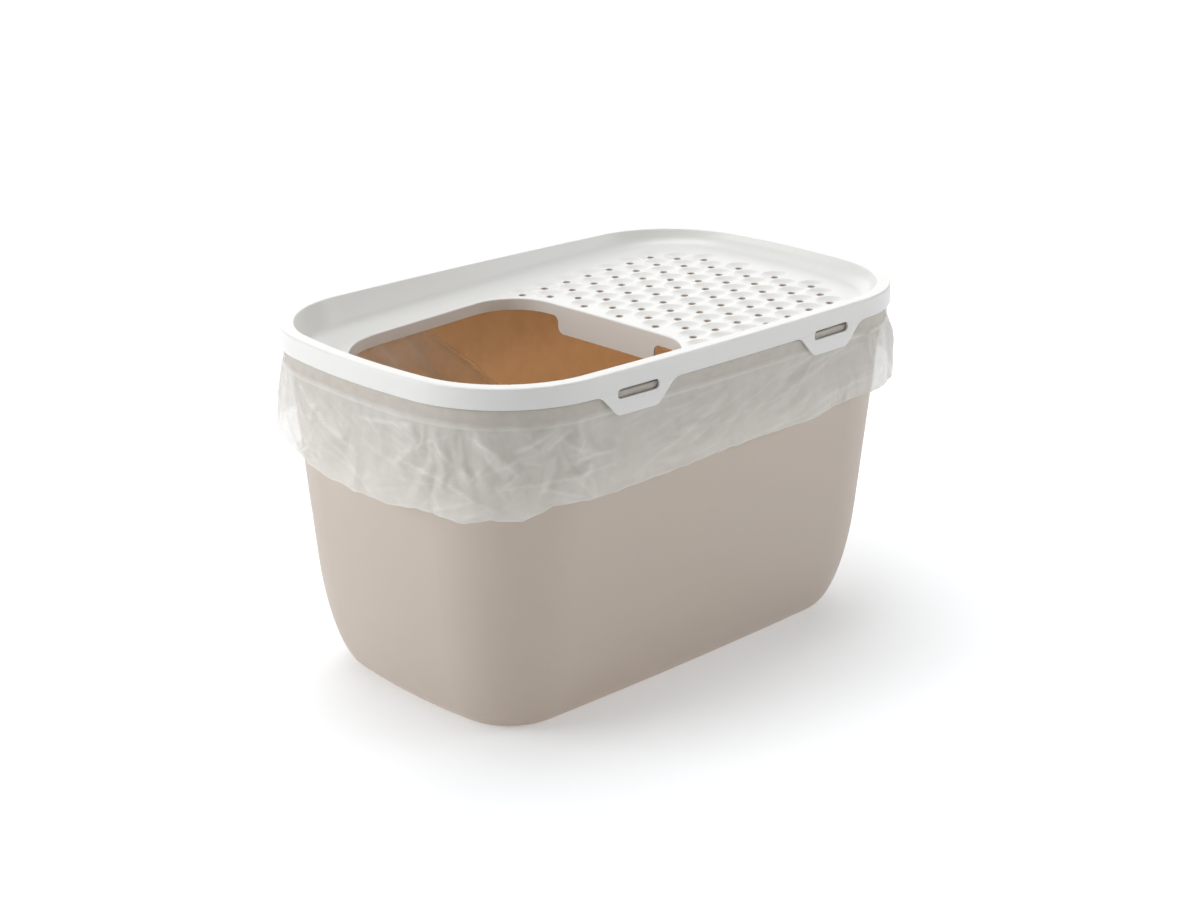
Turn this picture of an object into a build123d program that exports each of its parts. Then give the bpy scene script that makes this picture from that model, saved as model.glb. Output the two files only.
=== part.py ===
from build123d import *
import os
from math import atan2, cos, degrees, hypot, radians, sin, sqrt, tan

# A top-entry cat litter box: a deep tub, a film liner bag folded over the
# tub's flange, and a lift-off lid with an entry hole, a perforated step and
# four latch tabs. Millimetres, +Z up, +X towards the perforated end, origin
# on the ground under the middle.
#
# Every outline is one footprint, the lid's outer edge, moved in or out. An
# "outset" is that move: 0 at the lid's edge, negative inwards.

# Overall
length = 590.0
width = 376.0
height = 340.0
corner_radius = 116.0
end_bow = 4.0
side_bow = 3.0

# Lid
skirt_height = 18.6
skirt_wall = 2.2
skirt_draft = 0.6
rim_width = 13.5
rim_edge_radius = 2.0
rim_lip_radius = 1.4
lid_wall = 2.6
seat_rib_wall = 2.0
dish_depth = 24.3
dish_tilt = 2.06
dish_wall_angle = 25.0
dish_fillet = 16.0

# Entry hole and the collar under it
entry_end_margin = 64.0
entry_side_margin = 56.0
entry_taper = 6.0
entry_length = 244.7
entry_bow = 3.0
entry_end_radius = 68.0
entry_step_radius = 50.0
entry_edge_radius = 1.2
collar_depth = 11.7
collar_wall = 2.4
apron_depth = 28.9
apron_half_width = 66.0
apron_corner_radius = 7.0

# Perforated step
hole_diameter = 7.6
dimple_diameter = 28.0
dimple_depth = 2.8
dimple_wall = 1.6
boss_diameter = 24.0
column_pitch = 30.2
row_pitch = 24.6
step_margin = 43.0
hole_setback = 18.6

# Latch tabs
tab_end_distance = 168.5
tab_drop = 20.9
tab_bottom_half = 24.0
tab_top_half = 44.0
tab_bottom_radius = 8.0
tab_flare_radius = 14.0
slot_length = 49.0
slot_height = 9.0
slot_corner_radius = 4.2
slot_rise = 2.8

# Tub
tub_wall = 2.6
tub_floor = 3.0
tub_draft = 0.092
tub_sweep_in = 29.0
tub_sweep_height = 110.0
flange_height = 16.5
flange_wall = 2.2
flange_to_wall = 2.9
flange_edge_radius = 1.0
foot_ring_width = 12.0
foot_recess = 1.0

# Liner bag
film = 0.5
film_gap = 0.3
tab_clearance = 0.3
cuff_hem_height = 240.0
cuff_hem_outset = 3.0
cuff_belly_outset = 4.5
cuff_tuck = 1.2

# Places worked out from the sizes above; far and clear only size cutting tools
tab_x = length / 2 - tab_end_distance
skirt_bottom = height - skirt_height
tab_bottom = skirt_bottom - tab_drop
flange_top = skirt_bottom - film
flange_bottom = flange_top - flange_height
cuff_outset = -skirt_wall - tab_clearance
flange_outset = cuff_outset - film - film_gap
wall_top_outset = flange_outset - flange_wall - flange_to_wall + flange_height * tub_draft
base_outset = wall_top_outset - tub_draft * flange_top - tub_sweep_in
floor_height = height - dish_depth
seat_rib_outset = flange_outset - flange_wall
deep_outset = base_outset - foot_ring_width
entry_start = -length / 2 + entry_end_margin
entry_stop = entry_start + entry_length
tab_places = [(side, end) for side in (-1, 1) for end in (-1, 1)]
far = 2 * (length + width + height)
clear = 1.0


def bow_radius(half_chord, bow):
    return (half_chord ** 2 + bow ** 2) / (2 * bow)


end_radius = bow_radius(width / 2 - corner_radius, end_bow)
side_radius = bow_radius(length / 2 - corner_radius, side_bow)
end_centre = length / 2 - end_radius
side_centre = width / 2 - side_radius


def corner_centre():
    """The corner arc's centre: it touches both the end's and the side's long arc."""
    reach_end = end_radius - corner_radius
    reach_side = side_radius - corner_radius
    apart = hypot(end_centre, side_centre)
    along = (reach_end ** 2 - reach_side ** 2 + apart ** 2) / (2 * apart)
    across = sqrt(reach_end ** 2 - along ** 2)
    ux = -end_centre / apart
    uy = side_centre / apart
    return end_centre + along * ux - across * uy, along * uy + across * ux


corner_x, corner_y = corner_centre()
end_half_angle = degrees(atan2(corner_y, corner_x - end_centre))
side_half_angle = degrees(atan2(corner_x, corner_y - side_centre))
corner_angle = 90 - end_half_angle - side_half_angle


def footprint_arcs():
    """Centre x, centre y, radius, start angle and sweep of the eight arcs, anticlockwise."""
    arcs = []
    for turn, sx in ((0, 1), (180, -1)):
        arcs.append((sx * end_centre, 0, end_radius, turn - end_half_angle, 2 * end_half_angle))
        arcs.append((sx * corner_x, sx * corner_y, corner_radius, turn + end_half_angle, corner_angle))
        arcs.append((0, sx * side_centre, side_radius, turn + 90 - side_half_angle, 2 * side_half_angle))
        arcs.append((-sx * corner_x, sx * corner_y, corner_radius, turn + 90 + side_half_angle, corner_angle))
    return arcs


def footprint(outset):
    """The footprint as a face, moved out by outset."""
    edges = []
    for x, y, radius, start, sweep in footprint_arcs():
        edges.append(CenterArc((x, y), radius + outset, start, sweep))
    return make_face(edges)


def prism(outset, low, high):
    return Pos(0, 0, low) * extrude(footprint(outset), amount=high - low)


def ring(section):
    """Carries a section, drawn as (outset, height), right round the footprint."""
    pieces = []
    for x, y, radius, start, sweep in footprint_arcs():
        profile = Plane.XZ * Pos(radius, 0) * section
        pieces.append(Pos(x, y) * Rot(0, 0, start) * revolve(profile, Axis.Z, sweep))
    return pieces[0].fuse(*pieces[1:])


def outline(points, rounded=()):
    """A section face through points, with (index, radius) corners rounded."""
    face = make_face(Polyline(*points, close=True))
    for index, radius in rounded:
        corner = face.vertices().sort_by_distance(points[index] + (0,))[0]
        face = fillet(corner, radius)
    return face


# Tub ----------------------------------------------------------------------

def wall_outset(level):
    """The outer wall's straight, drafted part."""
    return wall_top_outset - tub_draft * (flange_top - level)


def wall_point(turn, inset, rise):
    """A point of the wall's lower sweep: turn runs from 0 at its top to 90 on the ground."""
    level = tub_sweep_height * (1 - sin(radians(turn)))
    outset = wall_outset(level) - tub_sweep_in * (1 - cos(radians(turn)))
    return outset - inset, level + rise


def wall_curve(inset, rise, top):
    """The wall's profile, moved in by inset and up by rise, from top to the floor."""
    sweep_points = [wall_point(turn, inset, rise) for turn in range(0, 91, 10)]
    start = (wall_outset(top) - inset, top)
    down = Vector(*sweep_points[0]) - Vector(*start)
    straight = Line(start, sweep_points[0])
    sweep = Spline(*sweep_points, tangents=[down, (-1, 0)])
    return straight, sweep


def closed_wall(outer, inner, top_edges):
    """The face between two wall curves, closed along the floor."""
    outer_end = outer[1] @ 1
    inner_end = inner[1] @ 1
    low = (deep_outset, outer_end.Y)
    high = (deep_outset, inner_end.Y)
    floor_edges = [Line(outer_end, low), Line(low, high), Line(high, inner_end)]
    return make_face([*outer, *inner, *top_edges, *floor_edges])


def make_tub():
    outer = wall_curve(0, 0, flange_top)
    inner = wall_curve(tub_wall, tub_floor, flange_top)
    body = ring(closed_wall(outer, inner, [Line(outer[0] @ 0, inner[0] @ 0)]))
    body += prism(deep_outset, 0, tub_floor)
    lip_inside = flange_outset - flange_wall
    flange = outline(
        [
            (wall_top_outset - tub_wall / 2, flange_top),
            (flange_outset, flange_top),
            (flange_outset, flange_bottom),
            (lip_inside, flange_bottom),
            (lip_inside, flange_top - flange_wall),
            (wall_top_outset - tub_wall / 2, flange_top - flange_wall),
        ],
        [(1, flange_edge_radius)],
    )
    body += ring(flange)
    body -= prism(deep_outset, 0, foot_recess)
    return body


# Liner bag ------------------------------------------------------------------

def make_liner():
    tuck_level = tab_bottom - cuff_tuck
    belly_level = (cuff_hem_height + tuck_level) / 2
    outside = [
        (cuff_hem_outset, cuff_hem_height),
        (cuff_belly_outset, belly_level),
        (cuff_outset, tuck_level),
        (cuff_outset, skirt_bottom),
    ]
    inside = [(outset - film, level) for outset, level in outside[:3]]
    inside.append((cuff_outset - film, flange_top))
    facing = wall_curve(tub_wall + film_gap, tub_floor + film_gap, flange_top)
    cavity = wall_curve(tub_wall + film_gap + film, tub_floor + film_gap + film, skirt_bottom)
    cuff = [
        Polyline(*outside),
        Line(outside[-1], cavity[0] @ 0),
        Polyline(*inside),
        Line(inside[-1], facing[0] @ 0),
        Line(outside[0], inside[0]),
    ]
    bag = ring(closed_wall(facing, cavity, cuff))
    bag += prism(deep_outset, tub_floor + film_gap, tub_floor + film_gap + film)
    return bag


# Lid ------------------------------------------------------------------------

def under_floor(drop):
    """Everything below the dish's sloping floor, lowered by drop."""
    slope = Plane((0, 0, floor_height - drop), z_dir=(-sin(radians(dish_tilt)), 0, cos(radians(dish_tilt))))
    return slope * extrude(Rectangle(far, far), amount=-far)


def floor_at(x):
    return floor_height + x * tan(radians(dish_tilt))


def dish(grow, drop, radius):
    """The dish's hollow, grown sideways and lowered by drop, with a rounded floor edge."""
    lean = tan(radians(dish_wall_angle))
    low = floor_at(-length / 2) - 2 * drop - lid_wall
    foot = -rim_width + grow - lean * (height - low)
    head = -rim_width + grow
    section = outline([(deep_outset, low), (foot, low), (head, height), (deep_outset, height)])
    body = ring(section) + prism(deep_outset, low, height)
    body -= under_floor(drop)
    floor_edges = body.faces().sort_by(Axis.Z)[0].outer_wire().edges()
    return fillet(floor_edges, radius)


def entry_face(grow):
    """The entry hole seen from above, grown outwards."""
    half_step = width / 2 - entry_side_margin
    half_end = half_step - entry_taper
    step_x = entry_stop - entry_bow
    end = Line((entry_start, half_end), (entry_start, -half_end))
    near = Line((entry_start, -half_end), (step_x, -half_step))
    step = ThreePointArc((step_x, -half_step), (entry_stop, 0), (step_x, half_step))
    rear = Line((step_x, half_step), (entry_start, half_end))
    face = make_face([end, near, step, rear])
    face = fillet(face.vertices().sort_by(Axis.X)[:2], entry_end_radius)
    face = fillet(face.vertices().sort_by(Axis.X)[-2:], entry_step_radius)
    return offset(face, grow) if grow else face


def make_collar():
    """The short wall round the entry hole, with its deep apron under the step."""
    low = floor_at(entry_stop) - apron_depth
    wall = Pos(0, 0, low - lid_wall) * extrude(entry_face(collar_wall), amount=far)
    wall &= under_floor(lid_wall / 2)
    edge = floor_at(entry_stop) - collar_depth
    up = (Align.CENTER, Align.MIN)
    band = Pos(0, edge) * Rectangle(4 * apron_half_width, height, align=up)
    tongue = Pos(0, low) * Rectangle(2 * apron_half_width, height, align=up)
    apron = band + tongue
    corners = apron.vertices().filter_by(lambda corner: abs(abs(corner.X) - apron_half_width) < clear)
    apron = fillet(corners.filter_by(lambda corner: corner.Y < edge + clear), apron_corner_radius)
    front = extrude(Plane.YZ * apron, amount=2 * entry_step_radius)
    front = Pos(entry_stop - entry_step_radius, 0, 0) * front
    return wall - (under_floor(collar_depth) - front)


def make_rim():
    """The skirt, the flat rim and the rib that sits on the tub's flange, in one section."""
    rib_out = seat_rib_outset
    rib_in = rib_out - seat_rib_wall
    under = height - lid_wall
    section = outline(
        [
            (0, skirt_bottom),
            (-skirt_draft, height),
            (-rim_width - lid_wall, height),
            (-rim_width - lid_wall, under),
            (rib_in, under),
            (rib_in, skirt_bottom),
            (rib_out, skirt_bottom),
            (rib_out, under),
            (-skirt_wall, under),
            (-skirt_wall, skirt_bottom),
        ],
        [(1, rim_edge_radius)],
    )
    return ring(section)


def hole_places():
    """The step's holes: staggered rows, with the outermost rows one pitch nearer the entry."""
    half_rows = int((width / 2 - step_margin - dimple_diameter / 2) / row_pitch)
    first = entry_stop + hole_setback - column_pitch / 2
    room = length / 2 - step_margin - dimple_diameter / 2 - first
    places = []
    for row in range(-half_rows, half_rows + 1):
        shift = 1.0 if row % 2 else 0.5
        count = int(room / column_pitch - shift) + 1
        if abs(row) == half_rows and row % 2:
            shift = 0.0
        for column in range(count):
            places.append((first + (shift + column) * column_pitch, row * row_pitch))
    return places


def make_punch():
    """One dimple with its hole, as the solid that is taken away."""
    radius = ((dimple_diameter / 2) ** 2 + dimple_depth ** 2) / (2 * dimple_depth)
    half = dimple_diameter / 2
    cut = 2 * (lid_wall + dimple_depth + dimple_wall)
    sag = radius - sqrt(radius ** 2 - (half / 2) ** 2)
    middle = (half / 2, sag - dimple_depth)
    bowl = ThreePointArc((0, -dimple_depth), middle, (half, 0))
    lip = Polyline((half, 0), (half, clear), (0, clear), (0, -dimple_depth))
    cap = revolve(Plane.XZ * make_face([bowl, lip]), Axis.Z, 360)
    return cap + Pos(0, 0, -cut / 2) * Cylinder(hole_diameter / 2, cut)


def make_boss():
    """The thickening under one dimple, from inside the floor's wall to the dimple's own wall."""
    top = -lid_wall / 2
    bottom = -dimple_depth - dimple_wall
    return Pos(0, 0, (top + bottom) / 2) * Cylinder(boss_diameter / 2, top - bottom)


def through_skirt(shape, side, end, level):
    """A shape drawn in front view, pushed through the skirt at one tab."""
    reach = skirt_wall + side_bow
    block = extrude(Plane.XZ * shape, amount=reach, both=True)
    return Pos(end * tab_x, side * (width / 2 - side_bow / 2), level) * block


def slot_cutters():
    slot = RectangleRounded(slot_length, slot_height, slot_corner_radius)
    middle = skirt_bottom + slot_rise - slot_height / 2
    return [through_skirt(slot, side, end, middle) for side, end in tab_places]


def make_lid():
    tilt = Rot(0, -dish_tilt, 0)
    places = [Pos(x, y, floor_at(x)) * tilt for x, y in hole_places()]
    boss = make_boss()
    lid = make_rim() + dish(lid_wall, lid_wall, dish_fillet + lid_wall) + make_collar()
    lid += [place * boss for place in places]
    lid -= dish(0, 0, dish_fillet)
    lid -= extrude(entry_face(0), amount=far)
    top = lid.faces().filter_by(Axis.Z).sort_by(Axis.Z)[-1]
    lid = fillet(top.inner_wires()[0].edges(), rim_lip_radius)
    slope = (-sin(radians(dish_tilt)), 0, cos(radians(dish_tilt)))
    floor = [face for face in lid.faces() if (face.normal_at() - Vector(*slope)).length < 1e-3]
    floor = ShapeList(floor).sort_by(SortBy.AREA)[-1]
    lid = fillet(floor.inner_wires()[0].edges(), entry_edge_radius)
    punch = make_punch()
    lid -= [place * punch for place in places]
    lid -= slot_cutters()
    return lid


# Latch tabs -----------------------------------------------------------------

def mirror_x(point):
    return -point[0], point[1]


def tab_outline():
    """A tab seen from the front, about its own middle, hanging from the skirt."""
    lean = degrees(atan2(tab_drop, tab_top_half - tab_bottom_half))
    flare = tab_flare_radius * tan(radians(lean / 2))
    reach = tab_top_half + flare
    across = cos(radians(lean))
    fall = sin(radians(lean))
    meet = (tab_top_half - flare * across, -flare * fall)
    bottom = tab_bottom_radius * tan(radians(lean / 2))
    rise = (tab_bottom_half + bottom * across, -tab_drop + bottom * fall)
    level = (tab_bottom_half - bottom, -tab_drop)
    return make_face(
        [
            RadiusArc((reach, 0), meet, tab_flare_radius),
            Line(meet, rise),
            RadiusArc(rise, level, tab_bottom_radius),
            Line(level, mirror_x(level)),
            RadiusArc(mirror_x(level), mirror_x(rise), tab_bottom_radius),
            Line(mirror_x(rise), mirror_x(meet)),
            RadiusArc(mirror_x(meet), (-reach, 0), tab_flare_radius),
            Line((-reach, 0), (reach, 0)),
        ]
    )


def make_tabs():
    foot = tab_bottom - clear
    band = outline([(0, foot), (0, skirt_bottom), (-skirt_wall, skirt_bottom), (-skirt_wall, foot)])
    skirt = ring(band)
    tabs = {}
    for (side, end), cutter in zip(tab_places, slot_cutters()):
        tab = (through_skirt(tab_outline(), side, end, skirt_bottom) & skirt) - cutter
        face = "front" if side < 0 else "back"
        hand = "left" if end < 0 else "right"
        tabs[f"snap_tab_{face}_{hand}"] = tab
    return tabs


nodes = {"tub": make_tub(), "liner_bag": make_liner(), "lid": make_lid(), **make_tabs()}
os.makedirs("parts", exist_ok=True)
for name, shape in nodes.items():
    export_step(shape, f"parts/{name}.step")
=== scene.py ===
import math

import bpy
import numpy as np
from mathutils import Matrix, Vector, noise


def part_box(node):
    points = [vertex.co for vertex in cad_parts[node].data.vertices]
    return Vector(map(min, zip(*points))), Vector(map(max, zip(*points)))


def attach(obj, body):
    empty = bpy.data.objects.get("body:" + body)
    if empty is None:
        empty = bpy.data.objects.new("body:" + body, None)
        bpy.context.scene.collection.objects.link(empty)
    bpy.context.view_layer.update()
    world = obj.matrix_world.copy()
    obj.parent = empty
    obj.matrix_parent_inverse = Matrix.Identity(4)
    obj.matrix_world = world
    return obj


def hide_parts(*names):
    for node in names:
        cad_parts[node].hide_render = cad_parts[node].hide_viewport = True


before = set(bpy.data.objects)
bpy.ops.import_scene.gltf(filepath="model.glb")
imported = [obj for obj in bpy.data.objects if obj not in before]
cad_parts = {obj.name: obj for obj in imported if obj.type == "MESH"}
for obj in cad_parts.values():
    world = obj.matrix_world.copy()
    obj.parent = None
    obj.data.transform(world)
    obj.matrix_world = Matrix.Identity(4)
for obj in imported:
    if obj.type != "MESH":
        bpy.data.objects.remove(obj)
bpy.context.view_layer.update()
mm = 0.001
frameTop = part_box("tub")[1].z


def deselectAll():
    for thing in bpy.context.selected_objects:
        thing.select_set(False)


def pick(thing):
    deselectAll()
    thing.select_set(True)
    bpy.context.view_layer.objects.active = thing


# Camera, floor and light
view = {"place": (-1.3404, -1.4006, 0.8745), "heading": 43.88, "down": 19.57, "lens": 63.35}


def addCamera():
    turn = (math.radians(90 - view["down"]), 0, math.radians(-view["heading"]))
    bpy.ops.object.camera_add(location=view["place"], rotation=turn)
    camera = bpy.context.object
    camera.data.lens = view["lens"]
    camera.data.sensor_width = 36
    camera.data.clip_start = 0.01
    bpy.context.scene.camera = camera


studio = {
    "floorSize": 200.0,
    "floorColour": (0.87, 0.89, 0.91, 1),
    "floorRoughness": 0.8,
    "floorGloss": 0.1,
    "floorPaintedGlow": (0.26, 1.1),  # painted glow: dimmer by the box, brighter far away
    "paintedGlowReach": (0.9, 3.2),
    "world": 0.20,
    # place, aim, size, power in watts
    "lamps": {
        "overhead": ((-0.05, 0.3, 2.4), (0.05, 0.05, 0.0), (1.9, 1.5), 36),
        "leftWindow": ((-2.1, 1.3, 1.15), (0, 0, 0.2), (1.8, 1.3), 32.5),
        "rightFill": ((1.9, -1.9, 1.3), (0, 0, 0.2), (1.6, 1.1), 18),
        "backdrop": ((2.1, 2.2, 1.25), (0, 0, 0.3), (4.0, 2.0), 44),
    },
}


def floorMaterial():
    material = bpy.data.materials.new("studioWhitePaintedGlow")
    material.use_nodes = True
    tree = material.node_tree
    shader = tree.nodes["Principled BSDF"]
    shader.inputs["Base Color"].default_value = studio["floorColour"]
    shader.inputs["Roughness"].default_value = studio["floorRoughness"]
    shader.inputs["Specular IOR Level"].default_value = studio["floorGloss"]
    shader.inputs["Emission Color"].default_value = (1, 1, 1, 1)
    place = tree.nodes.new("ShaderNodeTexCoord")
    reach = tree.nodes.new("ShaderNodeVectorMath")
    reach.operation = "LENGTH"
    # the floor glows by its distance from the box: painted shade near the box, painted light far off
    fade = tree.nodes.new("ShaderNodeMapRange")
    fade.interpolation_type = "SMOOTHSTEP"
    for socket, value in zip(("From Min", "From Max"), studio["paintedGlowReach"]):
        fade.inputs[socket].default_value = value
    for socket, value in zip(("To Min", "To Max"), studio["floorPaintedGlow"]):
        fade.inputs[socket].default_value = value
    tree.links.new(place.outputs["Object"], reach.inputs[0])
    tree.links.new(reach.outputs["Value"], fade.inputs["Value"])
    tree.links.new(fade.outputs["Result"], shader.inputs["Emission Strength"])
    return material


def addStudio():
    bpy.ops.mesh.primitive_plane_add(size=studio["floorSize"], location=(0, 0, 0))
    floor = bpy.context.object
    floor.name = "studioFloor"
    floor.data.materials.append(floorMaterial())
    for name, (place, aim, size, power) in studio["lamps"].items():
        toward = Vector(aim) - Vector(place)
        turn = toward.to_track_quat("-Z", "Y").to_euler()
        bpy.ops.object.light_add(type="AREA", location=place, rotation=turn)
        lamp = bpy.context.object
        lamp.name = name
        lamp.data.shape = "RECTANGLE"
        lamp.data.size = size[0]
        lamp.data.size_y = size[1]
        lamp.data.energy = power
    world = bpy.data.worlds.new("studioAir")
    bpy.context.scene.world = world
    world.use_nodes = True
    air = world.node_tree.nodes["Background"]
    air.inputs["Color"].default_value = (1, 1, 1, 1)
    air.inputs["Strength"].default_value = studio["world"]
    bpy.context.scene.view_settings.view_transform = "Standard"
    print("studio", len(studio["lamps"]), "lamps")


# The footprint that every outline follows: the lid's edge, moved out by an outset
footprint = {"cornerRadius": 116 * mm, "endBow": 4 * mm, "sideBow": 3 * mm}


def footprintArcs():
    low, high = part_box("lid")
    halfLength, halfWidth = (high.x - low.x) / 2, (high.y - low.y) / 2
    radius = footprint["cornerRadius"]
    arcs = []
    sizes = []
    for half, chord, bow in (
        (halfLength, halfWidth - radius, footprint["endBow"]),
        (halfWidth, halfLength - radius, footprint["sideBow"]),
    ):
        long = (chord**2 + bow**2) / (2 * bow)
        sizes.append((long, half - long))
    (endRadius, endCentre), (sideRadius, sideCentre) = sizes
    apart = math.hypot(endCentre, sideCentre)
    reachEnd, reachSide = endRadius - radius, sideRadius - radius
    along = (reachEnd**2 - reachSide**2 + apart**2) / (2 * apart)
    across = math.sqrt(reachEnd**2 - along**2)
    ux, uy = -endCentre / apart, sideCentre / apart
    cornerX = endCentre + along * ux - across * uy
    cornerY = along * uy + across * ux
    endHalf = math.atan2(cornerY, cornerX - endCentre)
    sideHalf = math.atan2(cornerX, cornerY - sideCentre)
    cornerTurn = math.pi / 2 - endHalf - sideHalf
    for turn, sign in ((0, 1), (math.pi, -1)):
        arcs.append((sign * endCentre, 0, endRadius, turn - endHalf, 2 * endHalf))
        arcs.append((sign * cornerX, sign * cornerY, radius, turn + endHalf, cornerTurn))
        arcs.append((0, sign * sideCentre, sideRadius, turn + math.pi / 2 - sideHalf, 2 * sideHalf))
        arcs.append((-sign * cornerX, sign * cornerY, radius, turn + math.pi / 2 + sideHalf, cornerTurn))
    return arcs


def footprintPoints(count):
    arcs = footprintArcs()
    lengths = np.array([radius * sweep for _, _, radius, _, sweep in arcs])
    ends = np.cumsum(lengths)
    stations = np.arange(count) * ends[-1] / count
    centres, radii, angles = np.zeros((count, 2)), np.zeros(count), np.zeros(count)
    for i, station in enumerate(stations):
        k = int(np.searchsorted(ends, station, side="right"))
        x, y, radius, start, sweep = arcs[k]
        centres[i] = x, y
        radii[i] = radius
        angles[i] = start + (station - (ends[k] - lengths[k])) / radius
    return centres, radii, angles, stations, ends[-1]


# The liner: one film, from its loose hem up over the flange and down into the tub
film = {
    "columns": 840,
    "hemRows": 42,
    "bandRows": 5,
    "topRows": 3,
    "wallRows": (36, 14),  # down to the fine rows' end, and below it
    "fineBottom": 195 * mm,
    "floorRows": 4,
    "floorReach": 0.10,  # how far in from the wall the floor's rows go, in metres
    "topGap": 0.25 * mm,  # over the tub's edge
    # gentle waves: how high, and how wide in metres
    "hemWave": (1.2 * mm, 0.012),
    "bandWave": (0.12 * mm, 0.05),
    "softSwell": (2.5 * mm, 0.06, 0.04),  # the last is upwards
    "looseSwell": 2.5 * mm,
    # how quickly down the cuff it stands off, its folds deepen and the painted highlights along its
    # folds come in
    "offPace": 1.9,
    "foldPace": 6,
    "highlightPace": 8,
    "highlightMost": 0.3,
    "highlightShares": (0.12, 0.24),  # painted highlight by the creases and by the corner's folds
    "looseBlur": (14 * mm, 0.9),  # the loose edge's softness, and its growth downwards
    "innerEase": (8, 6),  # how quickly the inner folds start under the edge and end over the floor
    "floorPace": 0.35,  # the even share of the rows' spacing towards the floor
    "creaseRound": 1.1 * mm,
    # widths of the painted highlights along the creases and the inner folds
    "creaseHighlightWidth": 1.5 * mm,
    "innerHighlightWidth": 4.5 * mm,
    "creaseMiddle": (0.270, 0.038),  # their mean height and its spread either way
    "creaseShare": 0.8,
    "bandOutset": -2.95 * mm,
    "bandBottom": 306.5 * mm,
    "bandLip": (1.6 * mm, 1.0 * mm),  # the cuff's step outwards under the band, and its drop
    "innerOutset": -10.1 * mm,
    "floorHeight": 3.55 * mm,
    "draft": 0.092,
    "sweepIn": 29 * mm,
    "sweepHeight": 110 * mm,
    # where the hem hangs: x, y beside the box, its height there, how far it stands off the band
    "hem": (
        (0.295, -0.06, 0.262, 6 * mm),
        (0.295, 0.06, 0.252, 5 * mm),
        (0.20, 0.188, 0.247, 5 * mm),
        (0.0, 0.188, 0.240, 4 * mm),
        (-0.20, 0.188, 0.244, 5 * mm),
        (-0.289, 0.108, 0.243, 7.5 * mm),
        (-0.295, 0.062, 0.233, 7.5 * mm),
        (-0.295, 0.023, 0.2275, 7 * mm),
        (-0.295, -0.055, 0.2245, 6 * mm),
        (-0.294, -0.089, 0.229, 6 * mm),
        (-0.278, -0.132, 0.2225, 6 * mm),
        (-0.2655, -0.149, 0.227, 6 * mm),
        (-0.245, -0.167, 0.225, 6 * mm),
        (-0.2215, -0.180, 0.236, 5 * mm),
        (-0.1585, -0.188, 0.2355, 5 * mm),
        (-0.035, -0.188, 0.2405, 4 * mm),
        (0.099, -0.188, 0.243, 4 * mm),
        (0.165, -0.188, 0.248, 5 * mm),
        (0.235, -0.176, 0.251, 8 * mm),
        (0.262, -0.153, 0.258, 9 * mm),
    ),
    # creases by stretch: centre x, y, reach along the edge, count, length, lean in degrees, depth, width
    "creases": {
        "nearCorner": (-0.262, -0.153, 0.10, 26, (16, 50), (-50, 50), (0.8, 2.6), (5, 13)),
        "frontSide": (0.02, -0.188, 0.17, 40, (45, 120), (4, 24), (0.8, 2.4), (6, 15)),
        "leftEnd": (-0.295, 0.02, 0.10, 26, (35, 90), (-38, -8), (0.8, 2.6), (6, 16)),
        "rightCorner": (0.262, -0.153, 0.09, 30, (18, 50), (58, 112), (1.4, 3.6), (4, 9)),
        "backCorners": (-0.262, 0.153, 0.10, 30, (16, 60), (-70, 70), (1.0, 3.0), (5, 13)),
        "backSide": (0.0, 0.188, 0.20, 40, (40, 110), (-26, 26), (0.8, 2.4), (6, 15)),
        "rightEnd": (0.283, 0.112, 0.12, 30, (20, 70), (-70, 70), (1.0, 3.0), (5, 12)),
    },
    # the sharp folds at the near corner, in mm: along and up at one end, at the other, depth, width
    "cornerFolds": (
        (-20, 297, 1, 285, 3.2, 9),
        (1, 285, 18, 266, 4.0, 10),
        (18, 266, 7, 255, 3.0, 8),
        (9, 255, 38, 257, 3.2, 9),
        (38, 257, 114, 260, 2.6, 11),
        (50, 300, 18, 286, 2.6, 8),
        (68, 299, 47, 286, -2.6, 8),
        (59, 293, 80, 277, 3.2, 8),
        (-55, 290, -37, 272, 2.6, 9),
        (-29, 270, -21, 262, 3.0, 6),
        (-92, 270, -44, 257, 1.8, 12),
        (-44, 257, -5, 237, 2.6, 10),
        (-5, 237, -27, 226, 2.4, 8),
        (-57, 230, -18, 242, 2.0, 9),
        (38, 253, 80, 238, 2.2, 10),
        (74, 273, 114, 272, 2.2, 10),
        (-145, 292, -83, 299, 1.6, 12),
        (-239, 298, -147, 258, 1.8, 14),
    ),
    "cornerMiddle": (-0.262, -0.153),
    # inside the tub the film hangs loose beyond this slanting edge, in mm from the given place
    "looseEdge": ((-0.067, 0.174), 0, 282, -85, 210),
    "innerFolds": (
        (0, 282, -85, 210, 1.6, 10),
        (67, 281, 37, 250, 3.0, 9),
        (96, 284, 60, 225, 4.0, 12),
        (30, 284, -20, 215, 2.0, 12),
        (140, 284, 110, 200, 4.0, 14),
        (190, 284, 175, 200, 4.0, 14),
    ),
    "looseReach": (170 * mm, 230 * mm),  # how far past that edge it starts to lie flat, and does
    "tuckBelow": 1.5 * mm,  # how far under a tab the cuff is still flat
    # how milky the film is, partly painted highlight and shade: added to the material's own share
    "hemHaze": 0.25,
    # the film is made whiter along the lip under the band
    "lipWhitening": 0.2,
    "innerHaze": -0.57,
    "looseHaze": 0.48,
    # the band lets more of the tub through: partly its tight fit on the flange, partly painted shade
    # under the skirt
    "bandClearingAndPaintedShade": -0.32,
    "settleFrames": 14,
    "seed": 7,
}


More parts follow.
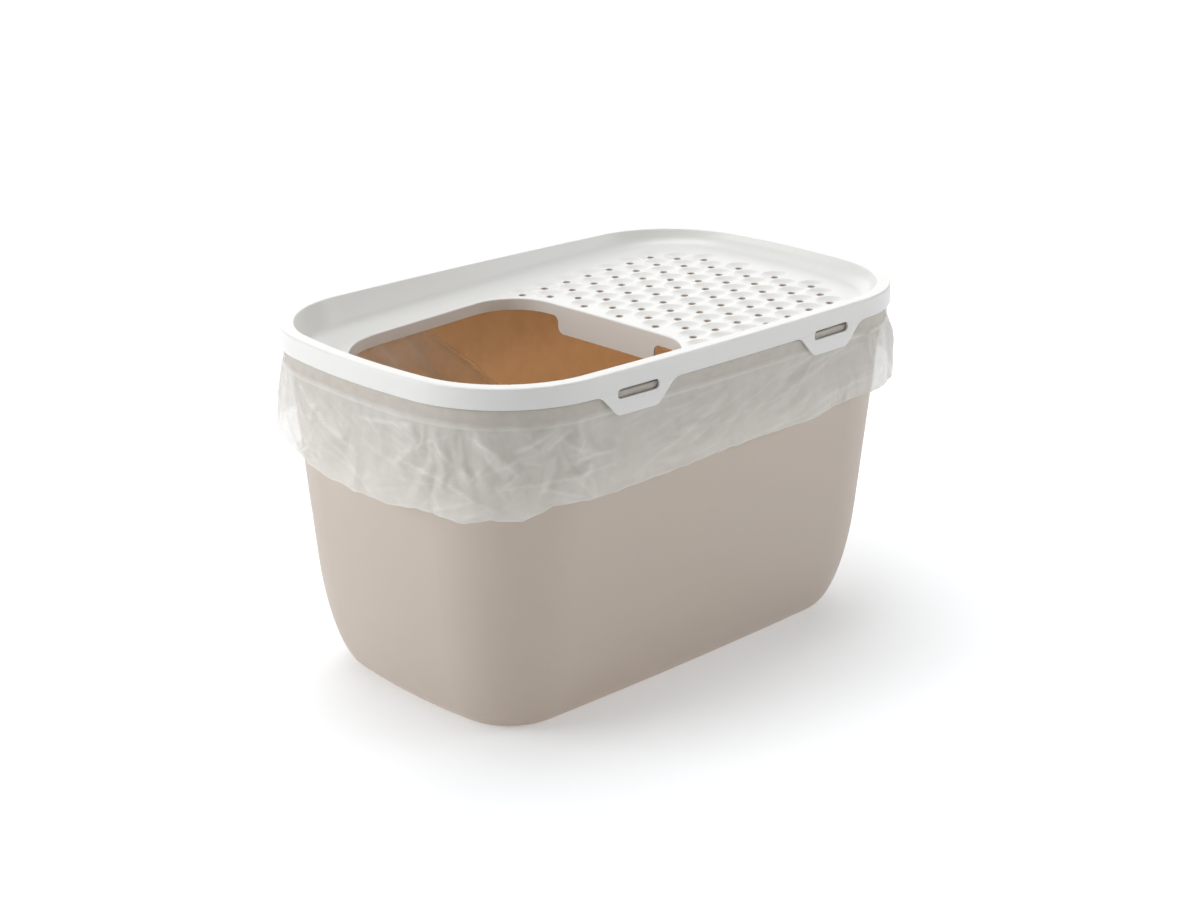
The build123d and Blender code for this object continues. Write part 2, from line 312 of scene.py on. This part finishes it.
def gridMesh(name, rows, count, closeEnd):
    points = np.concatenate(rows)
    quads = []
    for r in range(len(rows) - 1):
        low, high = r * count, (r + 1) * count
        for i in range(count):
            j = (i + 1) % count
            quads.append((low + i, low + j, high + j, high + i))
    if closeEnd:
        last = (len(rows) - 1) * count
        points = np.concatenate([points, [rows[-1].mean(0)]])
        quads += [(last + i, last + (i + 1) % count, len(points) - 1) for i in range(count)]
    mesh = bpy.data.meshes.new(name)
    mesh.from_pydata(points.tolist(), [], quads)
    mesh.update()
    thing = bpy.data.objects.new(name, mesh)
    bpy.context.scene.collection.objects.link(thing)
    pick(thing)
    bpy.ops.object.shade_smooth()
    return thing


def ringPoints(shape, outset, height):
    centres, radii, angles, _, _ = shape
    reach = (radii + outset)[:, None]
    flat = centres + np.stack([np.cos(angles), np.sin(angles)], 1) * reach
    return np.column_stack([flat, np.broadcast_to(height, len(radii))])


def stationAt(shape, edge, place):
    return shape[3][np.argmin(np.hypot(edge[:, 0] - place[0], edge[:, 1] - place[1]))]


def beside(stations, station, around):
    return (stations[None, :] - station + around / 2) % around - around / 2


# random creases: how deep the surface bends, and where a painted highlight lies along them
def addCreases(shape, heights, edge, stretches, middle, spread, draw):
    depth = np.zeros(heights.shape)
    foldHighlight = np.zeros(heights.shape)
    for x, y, reach, number, lengths, leans, depths, widths in stretches.values():
        home = stationAt(shape, edge, (x, y))
        for _ in range(number):
            centre = home + draw.uniform(-1, 1) * reach
            level = middle + draw.uniform(-1, 1) * spread
            length = draw.uniform(*lengths) * mm / 2
            lean = math.radians(draw.uniform(*leans))
            height = draw.uniform(*depths) * mm * draw.choice([-1.0, 1.0, 1.0])
            width = draw.uniform(*widths) * mm
            side = beside(shape[3], centre, shape[4])
            rise = heights - level
            along = side * math.cos(lean) + rise * math.sin(lean)
            across = -side * math.sin(lean) + rise * math.cos(lean)
            fade = np.exp(-((along / length) ** 4))
            depth += height * fade * np.maximum(0, 1 - np.hypot(across, film["creaseRound"]) / width)
            # a painted highlight along the crease, whitening the film
            glow = np.exp(-((across / film["creaseHighlightWidth"]) ** 2))
            foldHighlight += fade * glow * min(1.0, abs(height) / (3 * mm))
    return depth, foldHighlight


# folds listed one by one: the same, from their two ends
def addFolds(shape, heights, home, folds, glow):
    depth = np.zeros(heights.shape)
    foldHighlight = np.zeros(heights.shape)
    side = beside(shape[3], home, shape[4])
    for startAlong, startUp, endAlong, endUp, height, width in folds:
        run = np.array([endAlong - startAlong, endUp - startUp]) * mm
        away, rise = side - startAlong * mm, heights - startUp * mm
        share = np.clip((away * run[0] + rise * run[1]) / (run @ run), 0, 1)
        distance = np.hypot(away - share * run[0], rise - share * run[1])
        taper = 0.35 + 0.65 * np.sin(math.pi * np.clip(share, 0.08, 0.92))
        ridge = np.maximum(0, 1 - np.hypot(distance, film["creaseRound"]) / (width * mm))
        depth += height * mm * taper * ridge
        # a painted highlight along the fold
        foldHighlight += taper * np.exp(-((distance / glow) ** 2))
    return depth, foldHighlight


def wallOutset(height):
    outset = film["innerOutset"] - film["draft"] * (frameTop - height)
    turn = np.clip((film["sweepHeight"] - height) / (film["sweepHeight"] - film["floorHeight"]), 0, 1)
    return outset - film["sweepIn"] * (1 - np.sqrt(1 - turn**2))


def ripple(edge, wide, level):
    return np.array([noise.noise(Vector((x / wide, y / wide, level))) for x, y, _ in edge])


# each row has its outline, how milky it is with painted highlight and shade, and how firmly it is held:
# the loose cuff, hem first
def cuffRows(shape, edge, draw):
    stations, around = shape[3], shape[4]
    marks = sorted((stationAt(shape, edge, (x, y)), z, off) for x, y, z, off in film["hem"])
    at, levels, offs = zip(*marks)
    hem = np.interp(stations, at, levels, period=around)
    standOff = np.interp(stations, at, offs, period=around)
    wave, wide = film["hemWave"]
    hem = hem + wave * ripple(edge, wide, 4)
    up = np.linspace(0, 1, film["hemRows"] + 1)[:, None]
    heights = hem[None, :] + (film["bandBottom"] - hem[None, :]) * up
    drop = 1 - up
    middle, spread = film["creaseMiddle"]
    depth, foldHighlight = addCreases(shape, heights, edge, film["creases"], middle, spread, draw)
    home = stationAt(shape, edge, film["cornerMiddle"])
    sharp, bright = addFolds(shape, heights, home, film["cornerFolds"], film["creaseHighlightWidth"])
    swell, wide, tall = film["softSwell"]
    soft = np.zeros(heights.shape)
    for r, row in enumerate(heights):
        for i, (x, y, _) in enumerate(edge):
            soft[r, i] = noise.noise(Vector((x / wide, y / wide, row[i] / tall)))
    lip = film["bandLip"][0] * np.minimum(1, (film["bandBottom"] - heights) / film["bandLip"][1])
    bulge = standOff * np.sin(math.pi / 2 * np.minimum(1, drop * film["offPace"]))
    free = np.minimum(1, drop * film["foldPace"])
    shift = depth * film["creaseShare"] + sharp + swell * soft
    outsets = film["bandOutset"] + lip + bulge + free * shift
    byCrease, byFold = film["highlightShares"]
    # the film is whitened along creases and folds as painted highlight
    white = np.minimum(film["highlightMost"], foldHighlight * byCrease + bright * byFold)
    hazeAndPaintedLight = np.minimum(1, drop * film["highlightPace"]) * white
    hazeAndPaintedLight[0] += film["hemHaze"]
    # the lip row under the band is made whiter
    hazeAndPaintedLight[-2] += film["lipWhitening"]
    held = [0.0] * film["hemRows"] + [1.0]
    rings = [ringPoints(shape, o, h) for o, h in zip(outsets, heights)]
    return list(zip(rings, hazeAndPaintedLight, held))


# the smooth band under the skirt, and the step over the tub's edge
def bandRows(shape, edge, top):
    wave, wide = film["bandWave"]
    rows = []
    for share in np.linspace(0, 1, film["bandRows"] + 1)[1:]:
        outset = film["bandOutset"] + wave * ripple(edge, wide, share * 4)
        height = film["bandBottom"] + (top - film["bandBottom"]) * share
        # the band's clearer film is partly painted shade under the skirt
        rows.append((ringPoints(shape, outset, height), film["bandClearingAndPaintedShade"], 1.0))
    for share in np.linspace(0, 1, film["topRows"] + 1)[1:]:
        outset = film["bandOutset"] + (film["innerOutset"] - film["bandOutset"]) * share
        rows.append((ringPoints(shape, outset, top), 0.0, 1.0))
    return rows


# down the inside and across the floor
def innerRows(shape, edge, top):
    stations, around = shape[3], shape[4]
    floorHeight, fineBottom = film["floorHeight"], film["fineBottom"]
    fine = np.linspace(top, fineBottom, film["wallRows"][0] + 1)[1:]
    turn = np.linspace(0, math.pi / 2, film["wallRows"][1] + 1)[1:]
    even = film["floorPace"]
    pace = even * turn * 2 / math.pi + (1 - even) * np.sin(turn)
    coarse = fineBottom + (floorHeight - fineBottom) * pace
    heights = np.concatenate([fine, coarse])[:, None] + 0 * stations[None, :]
    down = (top - heights) / (top - floorHeight)
    place, startAlong, startUp, endAlong, endUp = film["looseEdge"]
    home = stationAt(shape, edge, place)
    depth, foldHighlight = addFolds(shape, heights, home, film["innerFolds"], film["innerHighlightWidth"])
    slope = (endAlong - startAlong) / (endUp - startUp)
    past = beside(stations, home, around) - (heights - startUp * mm) * slope
    soft, growth = film["looseBlur"]
    blur = soft + growth * np.maximum(0, endUp * mm - heights)
    firm, far = film["looseReach"]
    loose = np.clip((past + blur / 2) / blur, 0, 1) * np.clip((far - past) / (far - firm), 0, 1)
    start, end = film["innerEase"]
    ease = np.minimum(1, down * start) * np.minimum(1, (1 - down) * end)
    outsets = wallOutset(heights) - ease * (np.abs(depth) + film["looseSwell"] * loose)
    # painted highlight along the inner folds
    glow = np.minimum(0.5, foldHighlight * 0.5) * (0.15 + 0.85 * loose)
    hazeAndPaintedLight = film["innerHaze"] + film["looseHaze"] * loose + glow
    rows = [(ringPoints(shape, o, h), milkAndPaintedLight, 1.0) for o, h, milkAndPaintedLight in zip(outsets, heights, hazeAndPaintedLight)]
    last = outsets[-1].mean()
    for share in np.linspace(0, 1, film["floorRows"] + 1)[1:]:
        ring = ringPoints(shape, last - film["floorReach"] * share, floorHeight)
        rows.append((ring, film["innerHaze"], 1.0))
    return rows


def addFilm():
    count = film["columns"]
    shape = footprintPoints(count)
    edge = ringPoints(shape, 0, 0)
    draw = np.random.default_rng(film["seed"])
    top = frameTop + film["topGap"]
    rows = cuffRows(shape, edge, draw) + bandRows(shape, edge, top) + innerRows(shape, edge, top)
    outlines, hazesAndPaintedLight, held = zip(*rows)
    bag = gridMesh("linerFilm", outlines, count, True)
    mesh = bag.data
    milkAndPaintedLight = np.concatenate([np.broadcast_to(hazeAndPaintedLight, count) for hazeAndPaintedLight in hazesAndPaintedLight])
    # the film's milkiness, with painted highlights along folds and painted shade on the band
    mark = mesh.attributes.new("hazeAndPaintedLight", "FLOAT", "POINT")
    mark.data.foreach_set("value", np.append(milkAndPaintedLight, film["innerHaze"]).astype(np.float32))
    settle(bag, held, count)
    tuckBehindTabs(bag, shape, count)
    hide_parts("liner_bag")
    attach(bag, "base")
    return bag


# The wall that the cuff settles against, in the tub's shape
form = {
    "columns": 180,
    "levels": (0.14, 0.18, 0.22, 0.25, 0.275, 0.295),
    "outset": -6.9 * mm,
    "thick": 1.0 * mm,
    "friction": 8,
}


# the cuff settles under a quarter of its weight and a slight pull towards the wall
def settle(bag, held, count):
    pins = bag.vertex_groups.new(name="held")
    for r, share in enumerate(held):
        if share:
            pins.add(list(range(r * count, (r + 1) * count)), share, "REPLACE")
    pins.add([len(bag.data.vertices) - 1], 1.0, "REPLACE")
    outline = footprintPoints(form["columns"])
    rows = []
    for level in form["levels"]:
        rows.append(ringPoints(outline, form["outset"] - film["draft"] * (frameTop - level), level))
    wall = gridMesh("settleForm", rows, form["columns"], False)
    bpy.ops.object.modifier_add(type="COLLISION")
    wall.collision.thickness_outer = form["thick"]
    wall.collision.cloth_friction = form["friction"]
    pick(bag)
    bpy.ops.object.modifier_add(type="CLOTH")
    cloth = bag.modifiers["Cloth"]
    cloth.settings.quality = 6
    cloth.settings.mass = 0.02
    cloth.settings.air_damping = 1.5
    cloth.settings.tension_stiffness = 30
    cloth.settings.compression_stiffness = 30
    cloth.settings.shear_stiffness = 12
    cloth.settings.bending_stiffness = 0.05
    cloth.settings.vertex_group_mass = "held"
    cloth.settings.use_pressure = True
    cloth.settings.uniform_pressure_force = -0.03
    cloth.settings.effector_weights.gravity = 0.25
    cloth.collision_settings.distance_min = 1.0 * mm
    cloth.point_cache.frame_end = film["settleFrames"]
    scene = bpy.context.scene
    for step in range(1, film["settleFrames"] + 1):
        scene.frame_set(step)
    bpy.ops.object.modifier_apply(modifier="Cloth")
    scene.frame_set(1)
    bag.vertex_groups.clear()
    bpy.data.objects.remove(wall)
    print("cuff settled in", film["settleFrames"], "frames")


# the cuff stays flat against the band behind each tab
def tuckBehindTabs(bag, shape, count):
    centres, radii, angles, _, _ = shape
    along = np.stack([np.cos(angles), np.sin(angles)], 1)
    places = np.zeros(len(bag.data.vertices) * 3)
    bag.data.vertices.foreach_get("co", places)
    places = places.reshape(-1, 3)
    loose = places[: (film["hemRows"] + 1) * count].reshape(-1, count, 3)
    outset = ((loose[:, :, :2] - centres) * along).sum(2) - radii
    behind = np.zeros(loose.shape[:2], bool)
    for name in tabNames():
        low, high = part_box(name)
        near = (loose[:, :, 0] > low.x) & (loose[:, :, 0] < high.x) & (loose[:, :, 1] * low.y > 0)
        behind |= near & (loose[:, :, 2] > low.z - film["tuckBelow"])
    extra = np.where(behind, np.maximum(0, outset - film["bandOutset"]), 0)
    loose[:, :, :2] -= along * extra[:, :, None]
    bag.data.vertices.foreach_set("co", places.ravel())
    bag.data.update()


# The latch tabs, sawn from a slab and rounded, then copied to their four places
tab = {
    "wall": 2.2 * mm,
    "drop": 20.9 * mm,
    "topHalf": 44 * mm,
    "bottomHalf": 24 * mm,
    "bottomRadius": 8 * mm,
    "flareRadius": 14 * mm,
    "slotHalf": 24.5 * mm,
    "slotHeight": 9 * mm,
    "slotLow": 6.2 * mm,
    "slotRadius": 4.2 * mm,
    "edgeRound": 0.35 * mm,
    "edgeStart": 1.9 * mm,  # how far under the skirt the rounding starts
    "sunk": 0.1 * mm,  # the flat slab sits this far inside the skirt's curve
}


def tabNames():
    return [f"snap_tab_{face}_{hand}" for face in ("front", "back") for hand in ("left", "right")]


def addBlock(name, size, place):
    bpy.ops.mesh.primitive_cube_add(size=1, location=place)
    block = bpy.context.object
    block.name = name
    block.scale = size
    bpy.ops.object.transform_apply(location=True, rotation=True, scale=True)
    return block


# selects, in edit mode, the edges whose two ends pass a test
def selectEdges(thing, test):
    bpy.ops.mesh.select_all(action="DESELECT")
    bpy.ops.object.mode_set(mode="OBJECT")
    points = thing.data.vertices
    for edge in thing.data.edges:
        edge.select = test(*(points[v].co for v in edge.vertices))
    bpy.ops.object.mode_set(mode="EDIT")
    bpy.ops.mesh.select_mode(type="EDGE")


# rounds the edges that run through the slab at the given places
def roundCorners(thing, places, reach, steps):
    pick(thing)
    bpy.ops.object.mode_set(mode="EDIT")

    def through(a, b):
        flat = abs(a.x - b.x) + abs(a.z - b.z) < 0.01 * mm
        return flat and any(math.hypot(a.x - x, a.z - z) < 0.1 * mm for x, z in places)

    selectEdges(thing, through)
    bpy.ops.mesh.bevel(offset=reach, segments=steps, profile=0.5)
    bpy.ops.object.mode_set(mode="OBJECT")


def cutAway(thing, cutter):
    pick(thing)
    bpy.ops.object.modifier_add(type="BOOLEAN")
    thing.modifiers["Boolean"].operation = "DIFFERENCE"
    thing.modifiers["Boolean"].object = cutter
    bpy.ops.object.modifier_apply(modifier="Boolean")
    bpy.data.objects.remove(cutter)


def makeTab():
    top, foot, drop, deep = tab["topHalf"], tab["bottomHalf"], tab["drop"], 3 * tab["wall"]
    lean = math.atan2(drop, top - foot)
    flare = tab["flareRadius"] * math.tan(lean / 2)
    slab = addBlock("tab", (2 * (top + flare), tab["wall"], drop), (0, 0, -drop / 2))
    for hand in (-1, 1):
        waste = addBlock("waste", (2 * top, deep, 2 * drop), (hand * 1.5 * top, 0, -drop))
        pick(waste)
        bpy.ops.object.mode_set(mode="EDIT")
        bpy.ops.mesh.select_all(action="SELECT")
        across = (hand * math.sin(lean), 0, math.cos(lean) * -1)
        corner = (hand * top, 0, 0)
        bpy.ops.mesh.bisect(plane_co=corner, plane_no=across, use_fill=True, clear_inner=True)
        bpy.ops.object.mode_set(mode="OBJECT")
        roundCorners(waste, [(hand * top, 0)], flare, 12)
        cutAway(slab, waste)
    roundCorners(slab, [(-foot, -drop), (foot, -drop)], tab["bottomRadius"] * math.tan(lean / 2), 10)
    half, low, high = tab["slotHalf"], -tab["slotLow"], tab["slotHeight"] - tab["slotLow"]
    slot = addBlock("slot", (2 * half, deep, high - low), (0, 0, (high + low) / 2))
    roundCorners(slot, [(x, z) for x in (-half, half) for z in (low, high)], tab["slotRadius"], 8)
    cutAway(slab, slot)
    pick(slab)
    bpy.ops.object.mode_set(mode="EDIT")
    selectEdges(slab, lambda a, b: abs(a.y - b.y) < 0.1 * mm and max(a.z, b.z) < -tab["edgeStart"])
    bpy.ops.mesh.bevel(offset=tab["edgeRound"], segments=3)
    bpy.ops.object.mode_set(mode="OBJECT")
    bpy.ops.object.shade_smooth_by_angle(angle=math.radians(35))
    return slab


def addTabs(plasticPaint):
    pattern = makeTab()
    _, sideCentre, sideRadius, _, _ = footprintArcs()[2]
    for name in tabNames():
        low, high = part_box(name)
        pick(pattern)
        bpy.ops.object.duplicate()
        made = bpy.context.object
        made.name = name + "_shaped"
        middle, side = (low.x + high.x) / 2, math.copysign(1, high.y)
        out = sideCentre + math.sqrt(sideRadius**2 - middle**2) - tab["sunk"] - tab["wall"] / 2
        made.location = (middle, side * out, high.z)
        made.rotation_euler.z = -side * math.asin(middle / sideRadius)
        bpy.ops.object.transform_apply(location=True, rotation=True, scale=True)
        paint(made, plasticPaint)
        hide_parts(name)
        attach(made, name)
    bpy.data.objects.remove(pattern)
    print("tabs", len(made.data.polygons), "faces each")


# Materials
plastic = {
    "tubOutside": (0.525, 0.483, 0.42),
    # the inside is painted a brighter orange than the outside, standing in for light shining through the
    # wall
    "tubInsidePaintedGlow": (0.90, 0.67, 0.45),
    "tubRoughness": 0.42,
    "tubThrough": 0.25,  # how much light the wall lets in, seen from outside and from inside
    "innerThrough": 0.42,
    "tubSheen": (0.5, 0.5),  # weight and roughness
    "tubSpecular": 1.0,
    "tubIor": 1.6,
    "lid": (0.80, 0.80, 0.78),
    "lidRoughness": 0.30,
    "lidThrough": 0.12,
    "film": (0.84, 0.83, 0.80),
    "filmRoughness": 0.22,
    "filmAlpha": 0.72,
    "filmStreaks": 0.25,
    "filmThrough": 0.35,
}


def newMaterial(name):
    material = bpy.data.materials.new(name)
    material.use_nodes = True
    tree = material.node_tree
    return material, tree, tree.nodes["Principled BSDF"], tree.nodes["Material Output"]


def node(tree, kind, **values):
    made = tree.nodes.new(kind)
    for key, value in values.items():
        setattr(made, key, value)
    return made


# a fine bump, and the coordinates that the other patterns use too
def grain(tree, shader, scale, distance, strength):
    place = node(tree, "ShaderNodeTexCoord")
    spots = node(tree, "ShaderNodeTexNoise")
    spots.inputs["Scale"].default_value = scale
    spots.inputs["Detail"].default_value = 2
    bump = node(tree, "ShaderNodeBump")
    bump.inputs["Strength"].default_value = strength
    bump.inputs["Distance"].default_value = distance
    tree.links.new(place.outputs["Object"], spots.inputs["Vector"])
    tree.links.new(spots.outputs["Fac"], bump.inputs["Height"])
    tree.links.new(bump.outputs["Normal"], shader.inputs["Normal"])
    return place


# the colour, a little lighter and darker in places
def clouded(tree, place, colour, scale, share):
    spots = node(tree, "ShaderNodeTexNoise")
    spots.inputs["Scale"].default_value = scale
    spots.inputs["Detail"].default_value = 3
    tint = node(tree, "ShaderNodeMix", data_type="RGBA", blend_type="MIX")
    tint.inputs["A"].default_value = (*[c * (1 - share) for c in colour], 1)
    tint.inputs["B"].default_value = (*[min(1, c * (1 + share)) for c in colour], 1)
    tree.links.new(place.outputs["Object"], spots.inputs["Vector"])
    tree.links.new(spots.outputs["Fac"], tint.inputs["Factor"])
    return tint.outputs["Result"]


# a value that wanders either way by the given amount
def varied(tree, place, socket, value, either, scale):
    spots = node(tree, "ShaderNodeTexNoise")
    spots.inputs["Scale"].default_value = scale
    spread = node(tree, "ShaderNodeMapRange")
    spread.inputs["To Min"].default_value = value - either
    spread.inputs["To Max"].default_value = value + either
    tree.links.new(place.outputs["Object"], spots.inputs["Vector"])
    tree.links.new(spots.outputs["Fac"], spread.inputs["Value"])
    tree.links.new(spread.outputs["Result"], socket)


def letLightThrough(tree, shader, output, colour, share):
    glow = node(tree, "ShaderNodeBsdfTranslucent")
    blend = node(tree, "ShaderNodeMixShader")
    blend.inputs["Fac"].default_value = share
    tree.links.new(colour, glow.inputs["Color"])
    tree.links.new(shader.outputs["BSDF"], blend.inputs[1])
    tree.links.new(glow.outputs["BSDF"], blend.inputs[2])
    tree.links.new(blend.outputs["Shader"], output.inputs["Surface"])
    return blend


def tubMaterial():
    material, tree, shader, output = newMaterial("tubPlastic")
    place = grain(tree, shader, 1400, 0.02 * mm, 0.35)
    outside = clouded(tree, place, plastic["tubOutside"], 5, 0.012)
    # painted glow: the inside faces get a brighter orange colour for light through the wall
    inside = clouded(tree, place, plastic["tubInsidePaintedGlow"], 5, 0.02)
    # inside the tub a face's normal points towards the middle
    surface = node(tree, "ShaderNodeNewGeometry")
    outward = node(tree, "ShaderNodeVectorMath", operation="MULTIPLY_ADD")
    outward.inputs[1].default_value = (1, 1, 0)
    outward.inputs[2].default_value = (0, 0, -0.05)
    facing = node(tree, "ShaderNodeVectorMath", operation="DOT_PRODUCT")
    inner = node(tree, "ShaderNodeMath", operation="LESS_THAN")
    inner.inputs[1].default_value = 0
    tint = node(tree, "ShaderNodeMix", data_type="RGBA")
    tree.links.new(place.outputs["Object"], outward.inputs[0])
    tree.links.new(surface.outputs["Normal"], facing.inputs[0])
    tree.links.new(outward.outputs["Vector"], facing.inputs[1])
    tree.links.new(facing.outputs["Value"], inner.inputs[0])
    tree.links.new(inner.outputs["Value"], tint.inputs["Factor"])
    tree.links.new(outside, tint.inputs["A"])
    tree.links.new(inside, tint.inputs["B"])
    tree.links.new(tint.outputs["Result"], shader.inputs["Base Color"])
    shader.inputs["Specular IOR Level"].default_value = plastic["tubSpecular"]
    varied(tree, place, shader.inputs["Roughness"], plastic["tubRoughness"], 0.03, 30)
    shader.inputs["IOR"].default_value = plastic["tubIor"]
    for socket, value in zip(("Sheen Weight", "Sheen Roughness"), plastic["tubSheen"]):
        shader.inputs[socket].default_value = value
    blend = letLightThrough(tree, shader, output, inside, plastic["tubThrough"])
    share = node(tree, "ShaderNodeMapRange")
    share.inputs["To Min"].default_value = plastic["tubThrough"]
    share.inputs["To Max"].default_value = plastic["innerThrough"]
    tree.links.new(inner.outputs["Value"], share.inputs["Value"])
    tree.links.new(share.outputs["Result"], blend.inputs["Fac"])
    return material


def lidMaterial():
    material, tree, shader, output = newMaterial("lidPlastic")
    place = grain(tree, shader, 1800, 0.015 * mm, 0.25)
    white = clouded(tree, place, plastic["lid"], 6, 0.01)
    tree.links.new(white, shader.inputs["Base Color"])
    varied(tree, place, shader.inputs["Roughness"], plastic["lidRoughness"], 0.04, 40)
    letLightThrough(tree, shader, output, white, plastic["lidThrough"])
    return material


def filmMaterial():
    material, tree, shader, output = newMaterial("linerFilm")
    place = grain(tree, shader, 260, 0.25 * mm, 0.35)
    white = clouded(tree, place, plastic["film"], 40, 0.03)
    tree.links.new(white, shader.inputs["Base Color"])
    varied(tree, place, shader.inputs["Roughness"], plastic["filmRoughness"], 0.08, 60)
    # the film's milkiness, with painted highlights along folds and painted shade on the band
    mark = node(tree, "ShaderNodeAttribute", attribute_name="hazeAndPaintedLight")
    streaks = node(tree, "ShaderNodeTexNoise")
    streaks.inputs["Scale"].default_value = 55
    streaks.inputs["Detail"].default_value = 4
    amount = node(tree, "ShaderNodeMath", operation="MULTIPLY_ADD")
    amount.inputs[1].default_value = plastic["filmStreaks"]
    amount.inputs[2].default_value = plastic["filmAlpha"] - 0.12
    total = node(tree, "ShaderNodeMath", operation="ADD", use_clamp=True)
    tree.links.new(place.outputs["Object"], streaks.inputs["Vector"])
    tree.links.new(streaks.outputs["Fac"], amount.inputs[0])
    tree.links.new(amount.outputs["Value"], total.inputs[0])
    tree.links.new(mark.outputs["Fac"], total.inputs[1])
    blend = letLightThrough(tree, shader, output, white, plastic["filmThrough"])
    clear = node(tree, "ShaderNodeBsdfTransparent")
    veil = node(tree, "ShaderNodeMixShader")
    tree.links.new(total.outputs["Value"], veil.inputs["Fac"])
    tree.links.new(clear.outputs["BSDF"], veil.inputs[1])
    tree.links.new(blend.outputs["Shader"], veil.inputs[2])
    tree.links.new(veil.outputs["Shader"], output.inputs["Surface"])
    return material


def paint(thing, material):
    thing.data.materials.clear()
    thing.data.materials.append(material)


addCamera()
addStudio()
bag = addFilm()
paint(bag, filmMaterial())
tubPaint, lidPaint = tubMaterial(), lidMaterial()
paint(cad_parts["tub"], tubPaint)
paint(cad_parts["lid"], lidPaint)
print("materials", len(bpy.data.materials))
addTabs(lidPaint)
